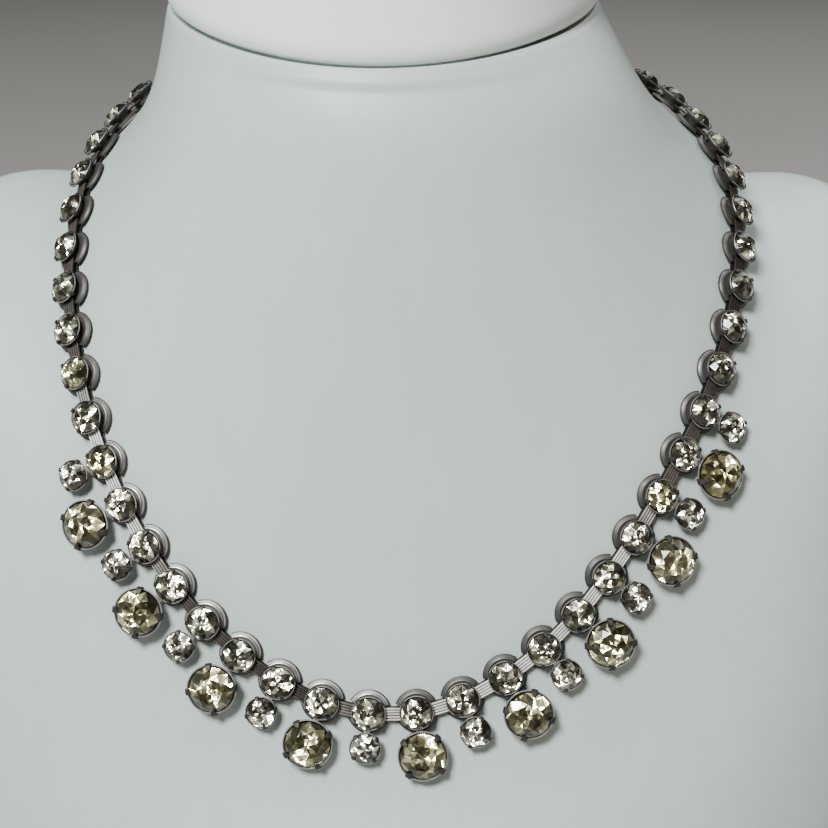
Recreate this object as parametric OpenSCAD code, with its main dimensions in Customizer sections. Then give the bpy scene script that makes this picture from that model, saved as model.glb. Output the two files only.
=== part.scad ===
// Collar necklace of rhinestone links with hanging drops, worn by a plain neck bust.
// Millimetres, +Z up. The origin is the middle of the bust's flat underside.
// The front of the bust faces -Y, and the right of a viewer in front of it is +X.

/* [Chain] */
// Stations round the loop: every link, and the clasp
station_count = 54; // [54:1:54]
// Links on each side of the middle link that carry a drop
drop_links = 9; // [9:1:9]
// Diameter of a link's round plate
plate_d = 7.1; // [7:0.05:7.2]
// Height of a plate's flat deck above its rim
deck_h = 0.6; // [0.6:0.05:0.65]
// Clearance between a plate's rim and the bust
plate_lift = 0.45; // [0.4:0.05:0.6]
// Width of the ribbed band that joins two plates
band_w = 2.2; // [2.1:0.05:2.3]
// How far the middle link lies to the right of the bust's middle
middle_shift = 2.5; // [2:0.1:3]

/* [Settings] */
// Outer diameter of the setting on each link
link_setting_d = 5.6; // [5.3:0.1:5.6]
// Outer diameter of a small drop's setting
small_drop_d = 5.2; // [5:0.1:5.3]
// Outer diameter of a large drop's setting
large_drop_d = 8.2; // [8:0.1:8.3]
// Distance from a link's middle to the middle of its small drop
small_reach = 5.65; // [5.6:0.05:5.8]
// Distance from a link's middle to the middle of its large drop
large_reach = 7.0; // [6.95:0.05:7.2]

/* [Bust] */
// Sides of the bust's mesh round the neck
bust_sides = 48; // [40:4:56]
// Rings of the bust's mesh in each row of its table
bust_steps = 4; // [4:1:5]
// Height of the padded cap above its seam
cap_h = 24; // [20:1:30]
// Width of the seam between the cap and the bust
seam_gap = 0.3; // [0.2:0.05:0.5]

/* [Hidden] */
sides_left = ["side_links_left", "link_stones_left", "bands_left"];
sides_right = ["side_links_right", "link_stones_right", "bands_right"];
function two_digits(n) = n < 10 ? str("0", n) : str(n);
link_names = [for (k = [1:2 * drop_links + 1]) str("link_", two_digits(k))];
large_names = [for (k = [1:drop_links]) str("large_stone_", k)];
small_names = [for (k = [1:drop_links + 1]) str("small_stone_", two_digits(k))];

// The bust's rings, from the seam under the cap down to the base. Each row gives the ring's
// distance from the neck's axis at the front, front quarter, side, back quarter and back.
RING_RADIUS = [
    [39, 38, 37, 37.5, 37],         // seam
    [43.5, 44, 42, 40, 41],         // neck
    [47.5, 49.5, 47.5, 46, 49.5],   // foot of the neck
    [53, 57, 54.5, 51.5, 48.5],     // slope
    [61, 66.5, 62.5, 52.5, 47.5],   // shoulder
    [71, 78.5, 82, 59, 46.5],       // chest
    [82.5, 89, 92.5, 61, 46],       // turn
    [88, 94, 96, 61, 51.5],         // wall
    [88, 94, 96, 61, 51.5]          // base
];
// The same rings' heights above the base, in the same five places.
RING_HEIGHT = [
    [172.5, 174.5, 176.5, 177, 177.5],
    [163, 164, 163, 163.5, 164.5],
    [144, 149.5, 156, 157.5, 158.5],
    [117.5, 131.5, 149.5, 150, 152.5],
    [88, 111.5, 140.5, 136.5, 141],
    [62.5, 87.5, 139, 120.5, 118],
    [44.5, 59.5, 109.5, 90.5, 83],
    [25, 30, 55, 45, 40],
    [0, 0, 0, 0, 0]
];
// How far each ring stands to the right of the middle of the base.
RING_LEAN = [-3, -0.5, 0.5, 1, 1, 1, 0, 0, 0];
last_ring = len(RING_RADIUS) - 1;
// The neck's axis lies behind the middle of the base.
axis_y = (RING_RADIUS[last_ring][0] - RING_RADIUS[last_ring][4]) / 2;

// The chain's line on the bust, counted in rows of the table above, every 20 degrees round the
// neck from the nape, by the left, the front and the right.
route_step = 20;
ROUTE = [
    1.76, 1.78, 1.75, 1.78, 2.14, 2.97, 3.69, 4.2, 4.45,
    4.51, 4.33, 3.97, 3.58, 3.07, 2.28, 1.79, 1.68, 1.72
];

// Five values round half a ring, as the waves that pass through them.
function wave(v, k) = (k == 0 || k == 4 ? 0.25 : 0.5)
    * (v[0] / 2 + v[1] * cos(45 * k) + v[2] * cos(90 * k) + v[3] * cos(135 * k) + v[4] / 2 * cos(180 * k));
function waves(v) = [for (k = [0:4]) wave(v, k)];
function around(w, a) = w[0] + w[1] * cos(a) + w[2] * cos(2 * a) + w[3] * cos(3 * a) + w[4] * cos(4 * a);
RADIUS_WAVES = [for (v = RING_RADIUS) waves(v)];
HEIGHT_WAVES = [for (v = RING_HEIGHT) waves(v)];

// A smooth curve through four neighbours, at the fraction f between the middle two.
function smooth(a, b, c, d, f) =
    b + 0.5 * f * ((c - a) + f * ((2 * a - 5 * b + 4 * c - d) + f * (3 * (b - c) + d - a)));
function ring(table, i) = i < 0 ? 2 * table[0] - table[1]
    : i > last_ring ? 2 * table[last_ring] - table[last_ring - 1] : table[i];
function between(table, t, i) =
    smooth(ring(table, i - 1), ring(table, i), ring(table, i + 1), ring(table, i + 2), t - i);
function at_row(table, t) = between(table, t, min(floor(t), last_ring - 1));
function polar(r, a, z) = [r * sin(a), axis_y - r * cos(a), z];
function lean(t) = [at_row(RING_LEAN, t), 0, 0];
function bust_point(t, a) = lean(t)
    + polar(around(at_row(RADIUS_WAVES, t), a), a, around(at_row(HEIGHT_WAVES, t), a));
function unit(v) = v / norm(v);
nudge = 0.05;
function bust_normal(t, a) = unit(cross(bust_point(t + nudge, a) - bust_point(t - nudge, a),
    bust_point(t, a + 1) - bust_point(t, a - 1)));

// The chain's row at any angle, and its line raised to the height where the links turn.
function route_at(i) = ROUTE[(i + len(ROUTE)) % len(ROUTE)];
function route_piece(i, f) = smooth(route_at(i - 1), route_at(i), route_at(i + 1), route_at(i + 2), f);
function route_row(a) = let (u = (a + 180) / route_step) route_piece(floor(u), u - floor(u));
pivot_h = 1.0;
function raised(a, h) = let (t = route_row(a)) bust_point(t, a) + h * bust_normal(t, a);
line_step = 3;
LINE = [for (a = [-180:line_step:180]) raised(a, pivot_h)];
STEPS = [for (i = [1:len(LINE) - 1]) norm(LINE[i] - LINE[i - 1])];
LENGTHS = [for (i = 0, s = 0; i <= len(STEPS); s = s + (i < len(STEPS) ? STEPS[i] : 0), i = i + 1) s];
ANGLE_AT = [for (i = [0:len(LENGTHS) - 1]) [LENGTHS[i], -180 + line_step * i]];
loop_length = LENGTHS[len(LENGTHS) - 1];
pitch = loop_length / station_count;
front_length = LENGTHS[(len(LENGTHS) - 1) / 2];
function wrapped(s) = s < 0 ? s + loop_length : s > loop_length ? s - loop_length : s;

// Stations are numbered from the middle link, positive to the right. Each has a frame: its
// origin at the plate's rim, X along the chain, Y towards the neck and Z out of the bust.
half_count = station_count / 2;
STATION_ANGLE = [for (k = [-half_count:half_count])
    lookup(wrapped(front_length + middle_shift + k * pitch), ANGLE_AT)];
OWN_NORMAL = [for (a = STATION_ANGLE) bust_normal(route_row(a), a)];
// A plate takes a mean of its own and its neighbours' directions, as a stiff chain does.
calm_passes = 2;
function mean_of_three(v, i) =
    unit(v[(i + station_count - 1) % station_count] + 2 * v[i] + v[(i + 1) % station_count]);
function calmed(v, passes) = passes == 0 ? v
    : calmed([for (i = [0:station_count]) mean_of_three(v, i)], passes - 1);
STATION_NORMAL = calmed(OWN_NORMAL, calm_passes);
// How far the bust rises under a plate's rim above the plane through the plate's middle.
function row_length(t, a) = norm(bust_point(t + nudge, a) - bust_point(t - nudge, a)) / (2 * nudge);
function degree_length(t, a) = norm(bust_point(t, a + 1) - bust_point(t, a - 1)) / 2;
function rim_point(t, a, u) = bust_point(
    t + plate_d / 2 / row_length(t, a) * cos(u), a + plate_d / 2 / degree_length(t, a) * sin(u));
function rim_rise(t, a, n) = max([for (u = [0:45:315]) (rim_point(t, a, u) - bust_point(t, a)) * n]);
function seated(a, n) = let (t = route_row(a))
    bust_point(t, a) + (plate_lift + max(0, rim_rise(t, a, n))) * n;
STATION_POINT = [for (i = [0:station_count]) seated(STATION_ANGLE[i], STATION_NORMAL[i])];
function flat_to(v, n) = unit(v - (v * n) * n);
function station_x(i) = flat_to(STATION_POINT[(i + 1) % station_count]
    - STATION_POINT[(i + station_count - 1) % station_count], STATION_NORMAL[i]);
STATION_X = [for (i = [0:station_count]) station_x(i)];
function matrix(x, y, z, p) =
    [[x[0], y[0], z[0], p[0]], [x[1], y[1], z[1], p[1]], [x[2], y[2], z[2], p[2]], [0, 0, 0, 1]];
module on_station(k) {
    i = k + half_count;
    x = STATION_X[i];
    z = STATION_NORMAL[i];
    multmatrix(matrix(x, cross(z, x), z, STATION_POINT[i])) children();
}

// A plate is a shallow dish upside down, with a bar and a slot at each end for the bands.
plate_r = plate_d / 2;
metal_t = 0.28;
deck_under = deck_h - metal_t;
bar_in = 2.5;
bar_out = 2.9;
slot_in = 1.77;
slot_w = band_w + 0.4;
notch_w = slot_w + 0.3;
bead_r = 2.85;
bead_h = 0.13;
PLATE_PROFILE = [
    [0, deck_h], [bead_r - 0.12, deck_h], [bead_r - 0.07, deck_h + bead_h], [bead_r + 0.07, deck_h + bead_h],
    [bead_r + 0.15, deck_h], [plate_r - 0.2, 0.25], [plate_r, 0.17], [plate_r, 0],
    [plate_r - 0.3, 0], [plate_r - 0.52, deck_under], [0, deck_under]
];
module plate_cuts(bottom, top) {
    for (end = [-1, 1]) {
        translate([end * (slot_in + bar_in) / 2, 0, (bottom + top) / 2])
            cube([bar_in - slot_in, slot_w, top - bottom], center = true);
        translate([end * (bar_out + 1), 0, (bottom + top) / 2])
            cube([2, notch_w, top - bottom], center = true);
    }
}

// A setting is a tapered cup with four prongs, and all its sizes are parts of its radius.
CUP_OUTSIDE = [[0.6, 0], [0.6, 0.12], [0.66, 0.22], [0.84, 0.38], [1, 0.52]];
CUP_INSIDE = [[0.935, 0.52], [0.78, 0.36], [0.58, 0.22], [0.48, 0.12]];
PRONG = [
    [0.935, 0.39], [1, 0.39], [1.08, 0.54], [1.07, 0.66], [0.98, 0.77],
    [0.76, 0.9], [0.72, 0.85], [0.91, 0.7], [0.94, 0.62]
];
cup_rim = 0.52;
cup_floor = 0.12;
prong_part = 0.28;
overrun = 0.05;
function scaled(points, r) = [for (p = points) r * p];
module turned(points) {
    rotate_extrude($fn = 48) polygon(points);
}
module cup_body(r) {
    turned(concat([[0, 0]], scaled(CUP_OUTSIDE, r), [[0, cup_rim * r]]));
}
module cup_hollow(r) {
    brim = cup_rim * r + overrun;
    turned(concat([[0, brim], [0.935 * r, brim]], scaled(CUP_INSIDE, r), [[0, cup_floor * r]]));
}
module prongs(r) {
    intersection() {
        turned(scaled(PRONG, r));
        for (a = [45, 135])
            rotate([0, 0, a]) translate([0, 0, 0.65 * r]) cube([2.2 * r, prong_part * r, r], center = true);
    }
}

// Heights of the settings' feet above the plate's rim.
link_r = link_setting_d / 2;
small_r = small_drop_d / 2;
large_r = large_drop_d / 2;
link_foot = deck_h - overrun;
small_foot = 0.6;
large_foot = 0.2;
bridge_w = 1.3;
bridge_low = 1.2;
bridge_high = 1.8;
module solder_bridge(r, reach) {
    near = -0.7 * link_r;
    far = -(reach - 0.7 * r);
    translate([-bridge_w / 2, far, bridge_low]) cube([bridge_w, near - far, bridge_high - bridge_low]);
}
module plain_link() {
    difference() {
        union() {
            turned(PLATE_PROFILE);
            translate([0, 0, link_foot]) cup_body(link_r);
        }
        plate_cuts(-1, deck_h + 0.3);
        translate([0, 0, link_foot]) cup_hollow(link_r);
    }
    translate([0, 0, link_foot]) prongs(link_r);
}
module drop_link(r, reach, foot) {
    difference() {
        union() {
            turned(PLATE_PROFILE);
            translate([0, 0, link_foot]) cup_body(link_r);
            translate([0, -reach, foot]) cup_body(r);
            solder_bridge(r, reach);
        }
        plate_cuts(-1, deck_h + 0.3);
        translate([0, 0, link_foot]) cup_hollow(link_r);
        translate([0, -reach, foot]) cup_hollow(r);
    }
    translate([0, 0, link_foot]) prongs(link_r);
    translate([0, -reach, foot]) prongs(r);
}
// Drops are large on every second link, counted from the middle one.
function is_large(k) = k % 2 == 0;
module front_link(k) {
    color("silver") on_station(k) {
        if (is_large(k)) drop_link(large_r, large_reach, large_foot);
        else drop_link(small_r, small_reach, small_foot);
    }
}
module side_links(first, last) {
    color("silver") for (k = [first:last]) on_station(k) plain_link();
}

// Cut stones, with a table, a crown, a girdle and a pavilion. All sizes are parts of the
// setting's radius.
girdle_part = 0.9;
girdle_low = 0.55;
girdle_high = 0.6;
table_part = 0.52;
table_z = 0.96;
culet_part = 0.12;
culet_z = 0.2;
crown_slope = (table_z - girdle_high) / (girdle_part - table_part);
star_part = 0.72;
star_z = table_z - crown_slope * (star_part * cos(22.5) - table_part);
function circle_points(n, r, z, turn) =
    [for (i = [0:n - 1]) [r * cos(turn + 360 * i / n), r * sin(turn + 360 * i / n), z]];
function brilliant_points(r) = r * concat(
    circle_points(8, table_part, table_z, 22.5),
    circle_points(8, star_part, star_z, 0),
    circle_points(16, girdle_part, girdle_high, 0),
    circle_points(16, girdle_part, girdle_low, 0),
    circle_points(8, culet_part, culet_z, 0));
BRILLIANT_FACES = concat(
    [[for (i = [7:-1:0]) i]],
    [for (i = [0:7]) [(i + 7) % 8, i, 8 + i]],
    [for (i = [0:7]) [i, 8 + (i + 1) % 8, 16 + 2 * i + 1, 8 + i]],
    [for (i = [0:7]) [8 + i, 16 + 2 * i + 1, 16 + 2 * i]],
    [for (i = [0:7]) [8 + i, 16 + 2 * i, 16 + (2 * i + 15) % 16]],
    [for (i = [0:15]) [16 + i, 16 + (i + 1) % 16, 32 + (i + 1) % 16, 32 + i]],
    [for (i = [0:7]) [32 + 2 * i, 32 + 2 * i + 1, 48 + i]],
    [for (i = [0:7]) [32 + 2 * i + 1, 32 + (2 * i + 2) % 16, 48 + (i + 1) % 8, 48 + i]],
    [[for (i = [0:7]) 48 + i]]);
module brilliant(r) {
    polyhedron(points = brilliant_points(r), faces = BRILLIANT_FACES, convexity = 2);
}
function chaton_points(r) = r * concat(
    circle_points(8, table_part, table_z, 22.5),
    circle_points(8, girdle_part, girdle_high, 22.5),
    circle_points(8, girdle_part, girdle_low, 22.5),
    circle_points(8, culet_part, culet_z, 22.5));
CHATON_FACES = concat(
    [[for (i = [7:-1:0]) i]],
    [for (level = [0:2], i = [0:7])
        [8 * level + i, 8 * level + (i + 1) % 8, 8 * level + 8 + (i + 1) % 8, 8 * level + 8 + i]],
    [[for (i = [0:7]) 24 + i]]);
module chaton(r) {
    polyhedron(points = chaton_points(r), faces = CHATON_FACES, convexity = 2);
}
module drop_stone(k) {
    r = is_large(k) ? large_r : small_r;
    reach = is_large(k) ? large_reach : small_reach;
    foot = is_large(k) ? large_foot : small_foot;
    color(is_large(k) ? "wheat" : "whitesmoke") on_station(k) translate([0, -reach, foot]) brilliant(r);
}
module link_stones(first, last) {
    color("whitesmoke") for (k = [first:last])
        on_station(k) translate([0, 0, link_foot]) chaton(link_r);
}

// A band is a flat loop that hooks the bars of two neighbouring plates, with ribs on top.
bar_middle = (bar_in + bar_out) / 2;
loop_t = 0.2;
loop_play = (bar_in - slot_in - loop_t) / 2;
loop_low = -0.15;
loop_high = 1.05;
rib_count = 5;
rib_w = 0.28;
rib_h = 0.12;
rib_edge = 0.1;
function bar_point(i, end) = STATION_POINT[i] + end * bar_middle * STATION_X[i];
// The loop's legs stand midway in the slots, so its half length follows the gap it spans.
function inside(gap) = gap / 2 + bar_middle - bar_in + loop_play;
module loop_wall(half) {
    difference() {
        translate([-half - loop_t, loop_low]) square([2 * (half + loop_t), loop_high - loop_low]);
        translate([-half, loop_low + loop_t]) square([2 * half, loop_high - loop_low - 2 * loop_t]);
    }
}
module rib(half) {
    foot = loop_high - rib_h;
    top = loop_high + rib_h;
    rotate([90, 0, 0]) linear_extrude(height = rib_w, center = true)
        polygon([[-half, foot], [half, foot], [half - rib_edge, top], [rib_edge - half, top]]);
}
module band_shape(half) {
    rotate([90, 0, 0]) linear_extrude(height = band_w, center = true) loop_wall(half);
    for (i = [0:rib_count - 1])
        translate([0, (i - (rib_count - 1) / 2) * (band_w - rib_w) / (rib_count - 1), 0]) rib(half);
}
// The band after station k.
module band(k) {
    i = k + half_count;
    a = bar_point(i, 1);
    b = bar_point(i + 1, -1);
    x = unit(b - a);
    z = flat_to(STATION_NORMAL[i] + STATION_NORMAL[i + 1], x);
    multmatrix(matrix(x, cross(z, x), z, (a + b) / 2)) band_shape(inside(norm(b - a)));
}
module bands(first, last) {
    color("gainsboro") for (k = [first:last]) band(k);
}

// The clasp at the nape: a plain box on a strip with the same bars as the plates.
clasp_w = 4.6;
clasp_box = [3.4, clasp_w, 1.3];
module clasp() {
    color("silver") on_station(-half_count) difference() {
        union() {
            translate([0, 0, deck_under + metal_t / 2]) cube([2 * bar_out, clasp_w, metal_t], center = true);
            translate([0, 0, deck_h - overrun + clasp_box[2] / 2]) cube(clasp_box, center = true);
        }
        plate_cuts(-1, deck_h + 0.3);
    }
}

// The bust below the seam, and the padded cap above it.
function ring_points(t) = [for (j = [0:bust_sides - 1]) bust_point(t, 360 * j / bust_sides)];
function wall_faces(rings, sides) = [for (i = [0:rings - 2], j = [0:sides - 1], half = [0, 1])
    let (n = (j + 1) % sides) half == 0 ? [i * sides + j, i * sides + n, (i + 1) * sides + n]
        : [i * sides + j, (i + 1) * sides + n, (i + 1) * sides + j]];
module skin(ring_lists) {
    sides = len(ring_lists[0]);
    rings = len(ring_lists);
    points = [for (r = ring_lists) each r];
    top = [for (j = [sides - 1:-1:0]) j];
    bottom = [for (j = [0:sides - 1]) (rings - 1) * sides + j];
    polyhedron(points = points, faces = concat([top], wall_faces(rings, sides), [bottom]), convexity = 6);
}
// The seam's ring, drawn in to a part of its size and raised.
seam_middle = (RING_HEIGHT[0][0] + RING_HEIGHT[0][4]) / 2;
function seam_point(size, rise, a) = lean(0) + polar(size * around(RADIUS_WAVES[0], a), a,
    seam_middle + size * (around(HEIGHT_WAVES[0], a) - seam_middle) + rise);
function seam_ring(size, rise) = [for (j = [0:bust_sides - 1]) seam_point(size, rise, 360 * j / bust_sides)];
seam_core = 0.1;
seam_tuck = 0.94;
module bust_form() {
    color("white") skin(concat([seam_ring(seam_core, 0)],
        [for (i = [0:last_ring * bust_steps]) ring_points(i / bust_steps)]));
}
// Rings of the cap: how far each stands out from the seam's ring, and its height above it as a
// part of the cap's height.
CAP_RINGS = [
    [-0.7, 0.01], [0, 0.05], [0.3, 0.12], [0, 0.25], [-0.6, 0.5],
    [-0.8, 0.75], [-1.6, 0.9], [-3, 0.97], [-5.5, 1]
];
module bust_cap() {
    color("white") skin(concat([for (i = [len(CAP_RINGS) - 1:-1:0]) cap_ring(CAP_RINGS[i])],
        [seam_ring(seam_tuck, seam_gap), seam_ring(seam_core, seam_gap)]));
}
function cap_point(c, a) = lean(0)
    + polar(around(RADIUS_WAVES[0], a) + c[0], a, around(HEIGHT_WAVES[0], a) + seam_gap + c[1] * cap_h);
function cap_ring(c) = [for (j = [0:bust_sides - 1]) cap_point(c, 360 * j / bust_sides)];

side_first = drop_links + 1;
side_last = half_count - 1;
bust_form();
bust_cap();
for (n = [0:2 * drop_links])
    front_link(n - drop_links);
for (n = [0:drop_links - 1])
    drop_stone(2 * n + 1 - drop_links);
for (n = [0:drop_links])
    drop_stone(2 * n - drop_links);
link_stones(-drop_links, drop_links);  // link_stones_front
link_stones(-side_last, -side_first);  // link_stones_left
link_stones(side_first, side_last);  // link_stones_right
side_links(-side_last, -side_first);  // side_links_left
side_links(side_first, side_last);  // side_links_right
bands(-side_first, drop_links);  // bands_front
bands(-half_count, -side_first - 1);  // bands_left
bands(side_first, side_last);  // bands_right
clasp();
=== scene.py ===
import math

import bpy
import numpy as np
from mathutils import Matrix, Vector


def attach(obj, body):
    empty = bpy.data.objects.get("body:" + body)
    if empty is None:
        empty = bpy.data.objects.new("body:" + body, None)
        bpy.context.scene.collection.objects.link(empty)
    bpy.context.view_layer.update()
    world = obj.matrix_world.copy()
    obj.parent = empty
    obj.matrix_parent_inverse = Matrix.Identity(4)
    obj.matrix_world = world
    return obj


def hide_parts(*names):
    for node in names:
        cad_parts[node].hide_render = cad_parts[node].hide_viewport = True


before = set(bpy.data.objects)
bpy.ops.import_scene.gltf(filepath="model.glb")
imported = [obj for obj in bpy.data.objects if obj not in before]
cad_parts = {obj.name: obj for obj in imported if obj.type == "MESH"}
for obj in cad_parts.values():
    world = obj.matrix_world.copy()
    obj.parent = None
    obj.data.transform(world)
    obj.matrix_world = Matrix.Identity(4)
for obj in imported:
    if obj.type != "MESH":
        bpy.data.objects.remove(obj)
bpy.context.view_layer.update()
MM = 0.001

# The bust's surface and the chain's line, from the same tables as the solids

# The bust's rings, from the seam under the cap down to the base. Each row gives the ring's
# distance from the neck's axis at the front, front quarter, side, back quarter and back.
RING_RADIUS = [
    [39, 38, 37, 37.5, 37],
    [43.5, 44, 42, 40, 41],
    [47.5, 49.5, 47.5, 46, 49.5],
    [53, 57, 54.5, 51.5, 48.5],
    [61, 66.5, 62.5, 52.5, 47.5],
    [71, 78.5, 82, 59, 46.5],
    [82.5, 89, 92.5, 61, 46],
    [88, 94, 96, 61, 51.5],
    [88, 94, 96, 61, 51.5],
]
# The same rings' heights above the base, in the same five places.
RING_HEIGHT = [
    [172.5, 174.5, 176.5, 177, 177.5],
    [163, 164, 163, 163.5, 164.5],
    [144, 149.5, 156, 157.5, 158.5],
    [117.5, 131.5, 149.5, 150, 152.5],
    [88, 111.5, 140.5, 136.5, 141],
    [62.5, 87.5, 139, 120.5, 118],
    [44.5, 59.5, 109.5, 90.5, 83],
    [25, 30, 55, 45, 40],
    [0, 0, 0, 0, 0],
]
# How far each ring stands to the right of the middle of the base.
RING_LEAN = [-3, -0.5, 0.5, 1, 1, 1, 0, 0, 0]
# The chain's line on the bust, counted in rows of the tables above, at equal angles round the
# neck from the nape, by the left, the front and the right.
ROUTE = [
    1.76, 1.78, 1.75, 1.78, 2.14, 2.97, 3.69, 4.2, 4.45,
    4.51, 4.33, 3.97, 3.58, 3.07, 2.28, 1.79, 1.68, 1.72,
]
ROUTE_STEP = 360 / len(ROUTE)
PLACES = 5
PLACE_STEP = 45
LAST_RING = len(RING_RADIUS) - 1
# The neck's axis lies behind the middle of the base.
AXIS_Y = (RING_RADIUS[LAST_RING][0] - RING_RADIUS[LAST_RING][4]) / 2


def waves(v):
    """Five values round half a ring, as the waves that pass through them."""
    # The front and the back stand once on the whole ring, the places between them twice.
    share = [0.5, 1, 1, 1, 0.5]
    out = []
    for k in range(PLACES):
        parts = (share[i] * v[i] * math.cos(math.radians(PLACE_STEP * i * k)) for i in range(PLACES))
        out.append(sum(parts) * (0.25 if k in (0, PLACES - 1) else 0.5))
    return out


def smooth(a, b, c, d, f):
    """A smooth curve through four neighbours, at the fraction f between the middle two."""
    return b + 0.5 * f * ((c - a) + f * ((2 * a - 5 * b + 4 * c - d) + f * (3 * (b - c) + d - a)))


def padded_table(table):
    """The table with one more row at each end, in line with the last two."""
    return np.vstack([2 * table[0] - table[1], table, 2 * table[-1] - table[-2]])


RADIUS_PADDED = padded_table(np.array([waves(v) for v in RING_RADIUS]))
HEIGHT_PADDED = padded_table(np.array([waves(v) for v in RING_HEIGHT]))
LEAN_PADDED = padded_table(np.array(RING_LEAN)[:, None])


def at_row(padded, t):
    """A table's values at rows t, which need not be whole."""
    i = np.clip(np.floor(t), 0, LAST_RING - 1).astype(int)
    f = (t - i)[..., None]
    return smooth(padded[i], padded[i + 1], padded[i + 2], padded[i + 3], f)


def around(w, a):
    """The sum of the waves w at angles a."""
    k = np.arange(PLACES)
    return (w * np.cos(np.radians(np.asarray(a, float)[..., None] * k))).sum(-1)


def polar(r, a, z):
    """Points at distance r from the neck's axis, angle a from the front and height z."""
    a = np.radians(a)
    return np.stack([r * np.sin(a), AXIS_Y - r * np.cos(a), z], -1)


def bust_point(t, a):
    """Points of the bust at rows t and angles a in degrees, in millimetres."""
    t, a = np.broadcast_arrays(np.asarray(t, float), np.asarray(a, float))
    point = polar(around(at_row(RADIUS_PADDED, t), a), a, around(at_row(HEIGHT_PADDED, t), a))
    point[..., 0] += at_row(LEAN_PADDED, t)[..., 0]
    return point


def unit(v):
    """Vectors of length one that point the same way."""
    v = np.asarray(v, float)
    return v / np.linalg.norm(v, axis=-1, keepdims=True)


# The part of a row over which the surface's slope is taken
NUDGE = 0.05


def row_step(t, a):
    return bust_point(t + NUDGE, a) - bust_point(t - NUDGE, a)


def angle_step(t, a):
    return bust_point(t, a + 1) - bust_point(t, a - 1)


def bust_normal(t, a):
    """The way out from the bust's surface."""
    return unit(np.cross(row_step(t, a), angle_step(t, a)))


def route_row(a):
    """The chain's row at angles a."""
    u = (np.asarray(a, float) + 180) / ROUTE_STEP
    i = np.floor(u).astype(int)
    n = len(ROUTE)
    r = np.array(ROUTE)
    return smooth(r[(i - 1) % n], r[i % n], r[(i + 1) % n], r[(i + 2) % n], u - i)


# Stations are numbered from the middle link, positive to the right.
STATIONS = 54
HALF = STATIONS // 2
DROP_LINKS = 9
SIDE_START = DROP_LINKS + 1
# How far the middle link is from the middle of the front, how far over the bust the links turn,
# and how far over it a plate lies at least
MIDDLE_SHIFT = 2.5
PIVOT_H = 1.0
PLATE_LIFT = 0.45
PLATE_R = 3.55
# Degrees between the points of the chain's line, and between the ones tried on a plate's rim
LINE_STEP = 3
RIM_STEP = 45


def station_frames():
    """Where each station's plate sits: its point, and its X, Y and Z directions."""
    angles = np.arange(-180, 181, LINE_STEP)
    rows = route_row(angles)
    line = bust_point(rows, angles) + PIVOT_H * bust_normal(rows, angles)
    lengths = np.concatenate([[0], np.cumsum(np.linalg.norm(np.diff(line, axis=0), axis=1))])
    loop = lengths[-1]
    at = lengths[len(lengths) // 2] + MIDDLE_SHIFT + np.arange(-HALF, HALF + 1) * loop / STATIONS
    at = np.where(at < 0, at + loop, np.where(at > loop, at - loop, at))
    angle = np.interp(at, lengths, angles)
    row = route_row(angle)
    normal = bust_normal(row, angle)[:STATIONS]
    # A plate takes a mean of its own and its neighbours' directions, twice, as a stiff chain does.
    for _ in range(2):
        normal = unit(np.roll(normal, 1, 0) + 2 * normal + np.roll(normal, -1, 0))
    angle, row = angle[:STATIONS], row[:STATIONS]
    base = bust_point(row, angle)
    row_length = np.linalg.norm(row_step(row, angle), axis=1) / 2 / NUDGE
    degree_length = np.linalg.norm(angle_step(row, angle), axis=1) / 2
    # How far the bust rises under a plate's rim above the plane through the plate's middle.
    rise = np.zeros(STATIONS)
    for u in np.radians(np.arange(0, 360, RIM_STEP)):
        rim_row = row + PLATE_R / row_length * np.cos(u)
        rim_angle = angle + PLATE_R / degree_length * np.sin(u)
        rise = np.maximum(rise, ((bust_point(rim_row, rim_angle) - base) * normal).sum(1))
    point = base + (PLATE_LIFT + rise)[:, None] * normal
    x = np.roll(point, -1, 0) - np.roll(point, 1, 0)
    x = unit(x - (x * normal).sum(1)[:, None] * normal)
    return point, x, np.cross(normal, x), normal


POINT, DIR_X, DIR_Y, DIR_Z = station_frames()


def place(k):
    """A station's point, its X along the chain, its Y towards the neck and its Z off the bust."""
    i = (k + HALF) % STATIONS
    return POINT[i], DIR_X[i], DIR_Y[i], DIR_Z[i]


# Mesh tools

TINY = 1e-9
# How a carved mesh's edges are rounded: the steps, and the least angle of an edge in degrees
EDGE_STEPS = 2
EDGE_ANGLE = 50


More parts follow.
